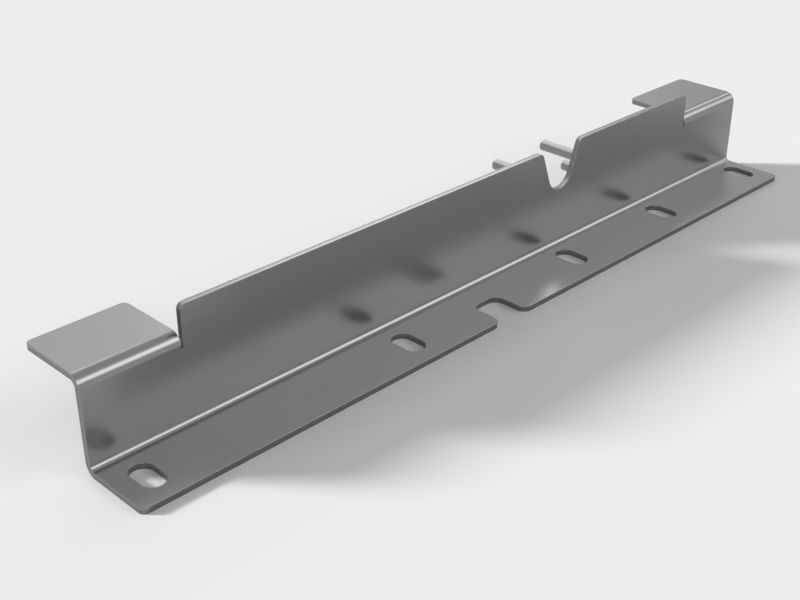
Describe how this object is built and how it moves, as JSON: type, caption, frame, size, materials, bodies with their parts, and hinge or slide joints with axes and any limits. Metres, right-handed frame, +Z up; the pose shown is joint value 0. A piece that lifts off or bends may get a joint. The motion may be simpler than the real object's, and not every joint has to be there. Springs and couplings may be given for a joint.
{
  "type": "stamped metal bracket",
  "caption": "Long folded sheet steel bracket: slotted flange, upright web with a tapered notch, end tabs folded back, plain weld pins on the web's back.",
  "frame": {"origin": "under the middle of the bracket's overall box, on the plane of the flange's underside", "axes": "+X along the length, with the notched half at +X; +Y from the flange's front edge towards the tabs and pins; +Z up from the flange"},
  "size_m": [0.47, 0.076, 0.06],
  "materials": {
    "sheet_steel": "satin rolled steel sheet with a faint lengthwise grain and smoother bends",
    "pin_steel": "bright drawn steel rod, cropped square at the ends"
  },
  "bodies": {
    "root": {"bracket": "sheet_steel", "upper_left_pin": "pin_steel", "upper_right_pin": "pin_steel", "lower_left_pin": "pin_steel", "lower_right_pin": "pin_steel"}
  },
  "joints": []
}
